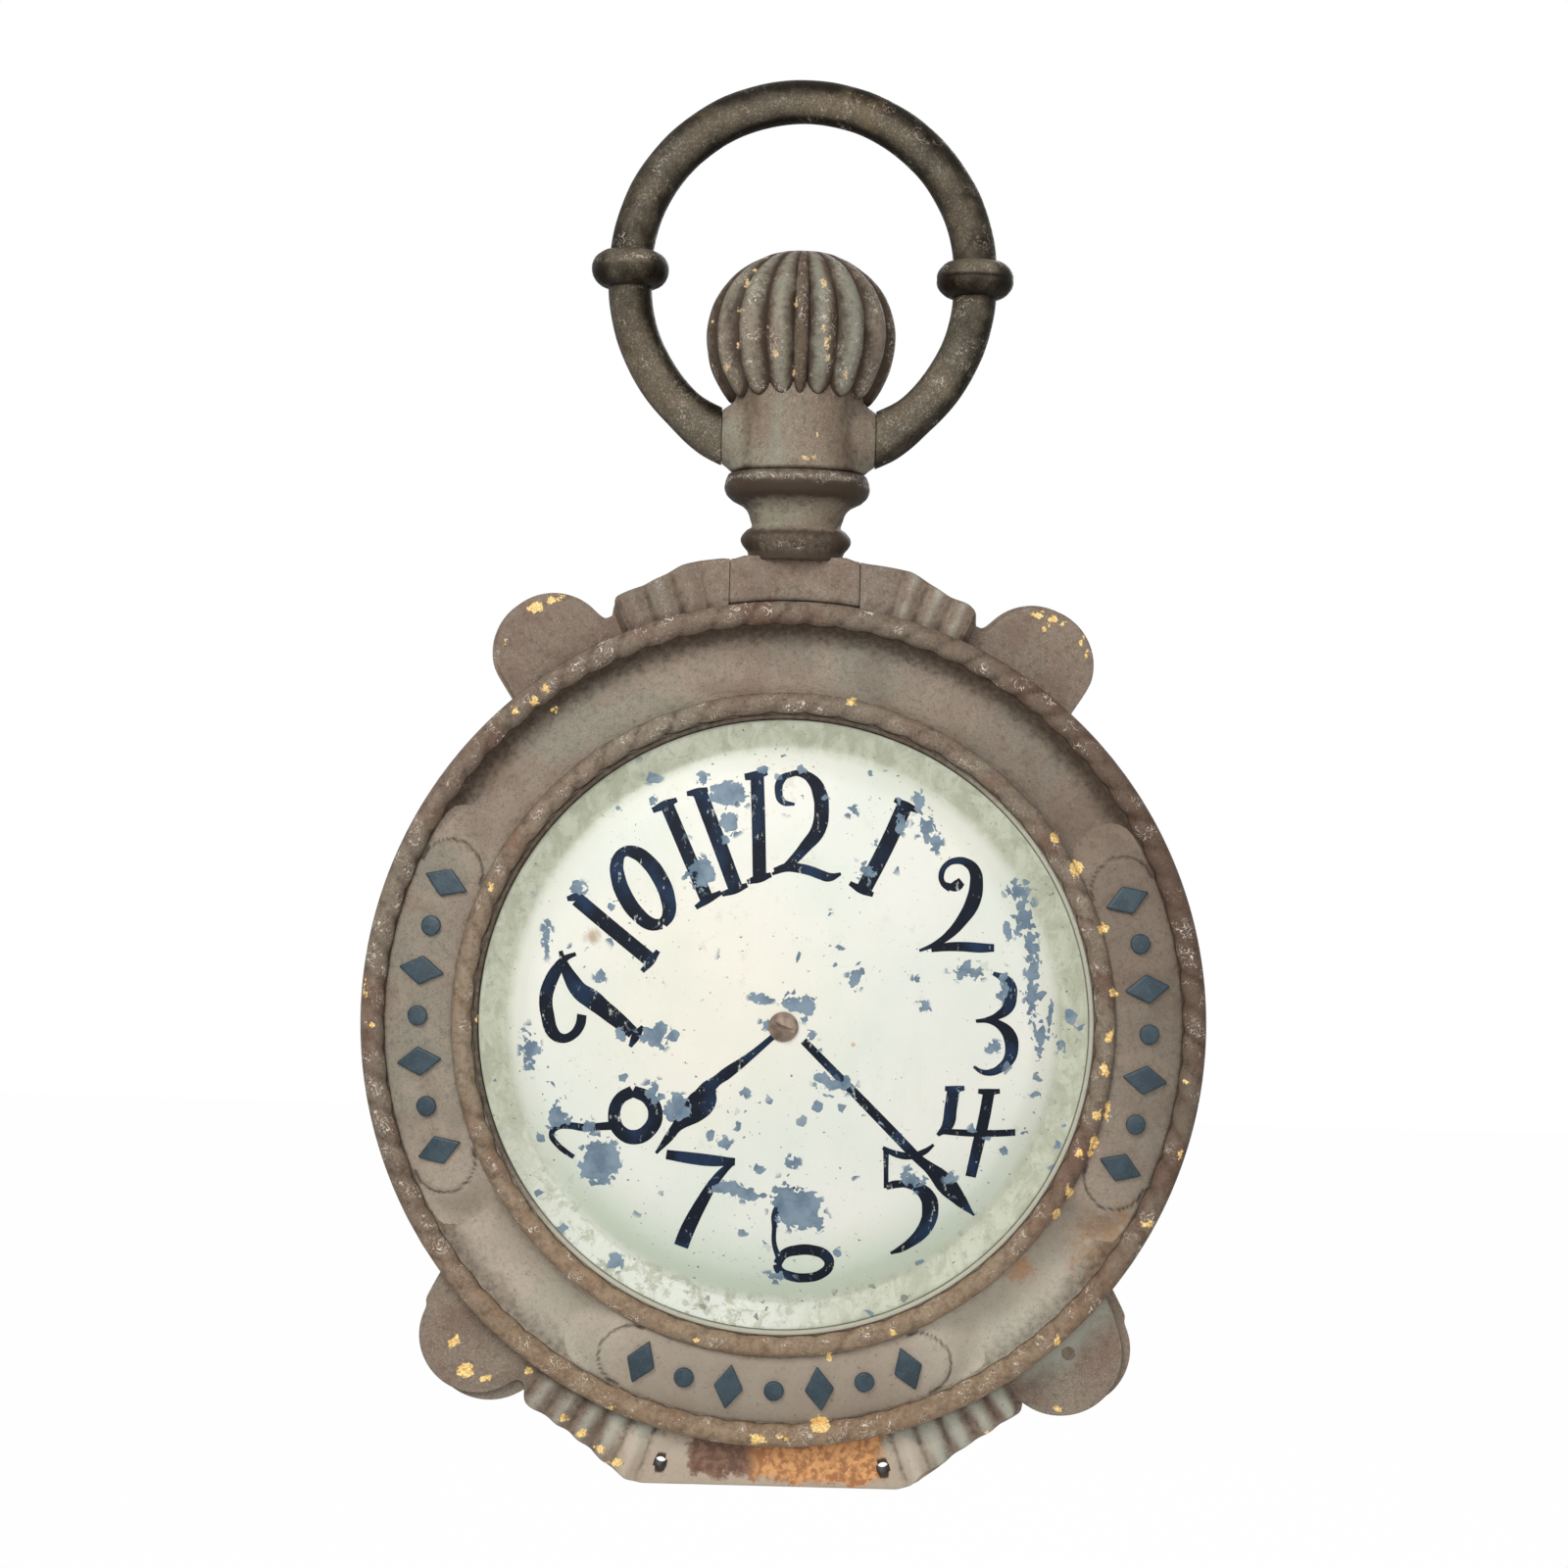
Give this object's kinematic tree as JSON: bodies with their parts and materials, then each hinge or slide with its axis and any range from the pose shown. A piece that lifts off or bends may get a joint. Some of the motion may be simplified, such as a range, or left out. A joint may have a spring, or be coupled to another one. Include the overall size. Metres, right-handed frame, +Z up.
{
  "type": "clock trade sign",
  "caption": "Double-faced cast sign shaped like a pocket watch, with domed dials, rope-edged ring, ribbed crown and a hinged bow to hang it by.",
  "frame": {"origin": "where the hook bears, at the top of the bow's inside, midway across its width and thickness", "axes": "+Z up, +X to the right of someone facing the front dial, -Y out of the front dial towards them"},
  "size_m": [0.5436, 0.1236, 0.9112],
  "materials": {
    "case_paint": "old grey-brown paint on cast iron, worn to pale flecks on the mouldings",
    "crown_paint": "old green-grey paint on cast iron, dark in the grooves",
    "bow_paint": "dark olive-brown paint rubbed to a soft sheen",
    "dial_paint": "aged cream enamel paint, flaked to slate blue in patches",
    "bare_iron": "rust-brown iron"
  },
  "bodies": {
    "bow": {"bow_arch": "bow_paint", "bow_arm_left": "bow_paint", "bow_arm_right": "bow_paint", "bow_collar_left": "bow_paint", "bow_collar_right": "bow_paint", "pivot_rod": "bare_iron", "pivot_pins": "bare_iron"},
    "case": {"crown": "crown_paint", "crown_stud": "bare_iron", "pendant": "case_paint", "neck": "case_paint", "hanger_eye_bolt": "bare_iron", "bearing_plate": "bare_iron", "hanger_nut": "bare_iron", "case_front": "case_paint", "case_rear": "case_paint", "pedestal_block": "case_paint", "ear_rivets": "case_paint", "outer_rope_front": "case_paint", "outer_rope_rear": "case_paint", "inner_rope_front": "case_paint", "inner_rope_rear": "case_paint", "left_panel_front": "case_paint", "right_panel_front": "case_paint", "bottom_panel_front": "case_paint", "left_panel_rear": "case_paint", "right_panel_rear": "case_paint", "bottom_panel_rear": "case_paint", "dial_front": "dial_paint", "dial_rear": "dial_paint", "dial_screw_front": "bare_iron", "dial_screw_rear": "bare_iron", "dial_post": "bare_iron", "dial_bar": "bare_iron"}
  },
  "joints": [
    {"name": "bow_pivot", "type": "hinge", "parent": "bow", "child": "case", "pos_m": [0, 0, -0.20472], "axis": [1, 0, 0], "range_deg": [-150, 150]}
  ]
}
